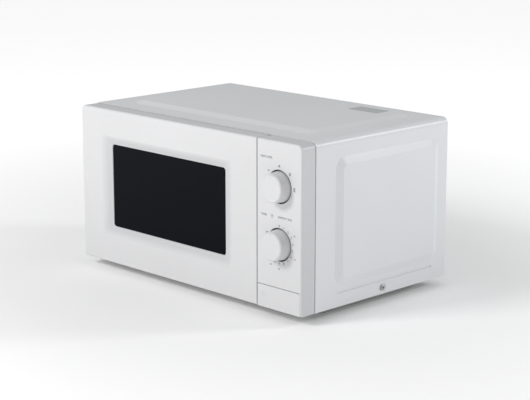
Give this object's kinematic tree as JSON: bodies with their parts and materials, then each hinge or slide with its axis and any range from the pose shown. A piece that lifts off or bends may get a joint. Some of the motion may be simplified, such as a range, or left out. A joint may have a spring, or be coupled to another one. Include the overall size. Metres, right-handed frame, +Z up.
{
  "type": "microwave oven",
  "caption": "Counter-top microwave oven with a side-hinged windowed door, knob control panel and push-button release, steel case, turntable and working parts inside.",
  "frame": {"origin": "on the surface that the feet stand on, under the middle of the bounding box", "axes": "+X to the right seen from the front, +Y from the front to the back, +Z up"},
  "size_m": [0.448, 0.315, 0.2404],
  "materials": {
    "case_paint": "semi-gloss powder coat",
    "galvanised_steel": "spangled zinc",
    "foot_plastic": "moulded",
    "white_plastic": "fine moulded satin",
    "knob_plastic": "moulded satin",
    "black_plastic": "moulded",
    "grey_plastic": "moulded",
    "natural_plastic": "unpainted nylon",
    "red_plastic": "moulded",
    "screw_zinc": "zinc plated",
    "plain_steel": "plain",
    "spring_steel": "drawn wire",
    "core_steel": "laminated, varnished",
    "label_film": "blank film",
    "cavity_paint": "grey enamel",
    "screen_paint": "black enamel",
    "dark_glass": "dark gloss",
    "clear_film": "clear film",
    "clear_glass": "clear tempered",
    "lamp_glass": "clear bulb",
    "mica": "mica sheet",
    "ferrite": "sintered",
    "copper": "enamelled copper",
    "fin_aluminium": "pressed sheet",
    "board_green": "phenolic board"
  },
  "bodies": {
    "chassis": {"outer_case": "case_paint", "base_plate": "galvanised_steel", "feet": "foot_plastic", "rear_panel": "galvanised_steel", "wall_spacers": "white_plastic", "cord_bushing": "black_plastic", "case_screws": "screw_zinc", "top_label": "label_film", "cavity_shell": "cavity_paint", "front_plate": "cavity_paint", "door_hinges": "plain_steel", "control_panel": "white_plastic", "control_bracket": "galvanised_steel", "power_selector": "black_plastic", "timer_unit": "natural_plastic", "interlock_bracket": "natural_plastic", "microswitches": "black_plastic", "turntable_motor": "plain_steel", "waveguide": "plain_steel", "waveguide_cover": "mica", "magnetron_yoke": "plain_steel", "magnetron_anode": "copper", "magnetron_magnets": "ferrite", "magnetron_fins": "fin_aluminium", "magnetron_filter": "plain_steel", "transformer_core": "core_steel", "transformer_windings": "copper", "hv_capacitor": "fin_aluminium", "capacitor_clamp": "galvanised_steel", "hv_diode": "black_plastic", "fan_shroud": "grey_plastic", "fan_motor": "core_steel", "filter_board": "board_green", "cavity_lamp": "lamp_glass", "lamp_holder": "grey_plastic", "thermal_cutouts": "black_plastic"},
    "door": {"door_frame": "white_plastic", "door_window": "dark_glass", "door_screen": "screen_paint", "door_film": "clear_film", "choke_cover": "grey_plastic"},
    "latch": {"latch_hooks": "natural_plastic", "latch_spring": "spring_steel"},
    "button": {"door_button": "white_plastic", "button_springs": "spring_steel"},
    "power_control": {"power_knob": "knob_plastic", "power_shaft": "plain_steel"},
    "timer_control": {"timer_knob": "knob_plastic", "timer_shaft": "plain_steel"},
    "lever": {"release_lever": "natural_plastic"},
    "primary_plunger": {"plunger_primary": "red_plastic"},
    "secondary_plunger": {"plunger_secondary": "red_plastic"},
    "monitor_plunger": {"plunger_monitor": "red_plastic"},
    "turntable": {"turntable_coupler": "natural_plastic", "turntable_plate": "clear_glass"},
    "ring": {"roller_ring": "natural_plastic"},
    "wheel_1": {"roller_1": "natural_plastic"},
    "wheel_2": {"roller_2": "natural_plastic"},
    "wheel_3": {"roller_3": "natural_plastic"},
    "fan": {"fan_blade": "natural_plastic"}
  },
  "joints": [
    {"name": "door_swing", "type": "hinge", "parent": "chassis", "child": "door", "pos_m": [-0.21, -0.1315, 0.124], "axis": [0, 0, -1], "range_deg": [0, 100]},
    {"name": "latch_lift", "type": "slide", "parent": "door", "child": "latch", "axis": [0, 0, 1], "range_m": [0, 0.004], "stiffness_N_per_m": 250, "springref_m": -0.004, "deforming": ["latch_spring"]},
    {"name": "door_button_press", "type": "slide", "parent": "chassis", "child": "button", "axis": [0, 1, 0], "range_m": [0, 0.004], "stiffness_N_per_m": 600, "springref_m": -0.002, "deforming": ["button_springs"]},
    {"name": "release_lever_turn", "type": "hinge", "parent": "chassis", "child": "lever", "pos_m": [0.138, -0.1115, 0.04], "axis": [1, 0, 0], "range_deg": [0, 17.5]},
    {"name": "power_knob_turn", "type": "hinge", "parent": "chassis", "child": "power_control", "pos_m": [0.1802, -0.1415, 0.1767], "axis": [0, 1, 0], "range_deg": [-90, 90]},
    {"name": "timer_knob_turn", "type": "hinge", "parent": "chassis", "child": "timer_control", "pos_m": [0.1802, -0.1415, 0.1012], "axis": [0, 1, 0], "range_deg": [0, 300]},
    {"name": "turntable_spin", "type": "hinge", "parent": "chassis", "child": "turntable", "pos_m": [-0.042, 0.01, 0.046], "axis": [0, 0, 1], "continuous": true},
    {"name": "roller_ring_spin", "type": "hinge", "parent": "chassis", "child": "ring", "pos_m": [-0.042, 0.01, 0.039], "axis": [0, 0, 1], "continuous": true},
    {"name": "roller_1_spin", "type": "hinge", "parent": "ring", "child": "wheel_1", "pos_m": [0.03941, 0.057, 0.03905], "axis": [-0.866, -0.5, 0], "continuous": true},
    {"name": "roller_2_spin", "type": "hinge", "parent": "ring", "child": "wheel_2", "pos_m": [-0.12341, 0.057, 0.03905], "axis": [0.866, -0.5, 0], "continuous": true},
    {"name": "roller_3_spin", "type": "hinge", "parent": "ring", "child": "wheel_3", "pos_m": [-0.042, -0.084, 0.03905], "axis": [0, 1, 0], "continuous": true},
    {"name": "fan_spin", "type": "hinge", "parent": "chassis", "child": "fan", "pos_m": [0.164, 0.104, 0.128], "axis": [0, -1, 0], "continuous": true},
    {"name": "primary_plunger_press", "type": "slide", "parent": "chassis", "child": "primary_plunger", "axis": [0, 1, 0], "range_m": [0, 0.001], "stiffness_N_per_m": 400, "springref_m": -0.0005},
    {"name": "secondary_plunger_press", "type": "slide", "parent": "chassis", "child": "secondary_plunger", "axis": [0, 1, 0], "range_m": [0, 0.001], "stiffness_N_per_m": 400, "springref_m": -0.0005},
    {"name": "monitor_plunger_press", "type": "slide", "parent": "chassis", "child": "monitor_plunger", "axis": [0, 1, 0], "range_m": [0, 0.001], "stiffness_N_per_m": 400, "springref_m": -0.0005}
  ],
  "couplings": [
    {"joint": "release_lever_turn", "follows": "door_button_press", "rad_per_m": 72},
    {"joint": "latch_lift", "follows": "door_button_press", "ratio": 0.8},
    {"joint": "roller_ring_spin", "follows": "turntable_spin", "ratio": 0.5},
    {"joint": "roller_1_spin", "follows": "turntable_spin", "ratio": 6.9118},
    {"joint": "roller_2_spin", "follows": "turntable_spin", "ratio": 6.9118},
    {"joint": "roller_3_spin", "follows": "turntable_spin", "ratio": 6.9118}
  ]
}
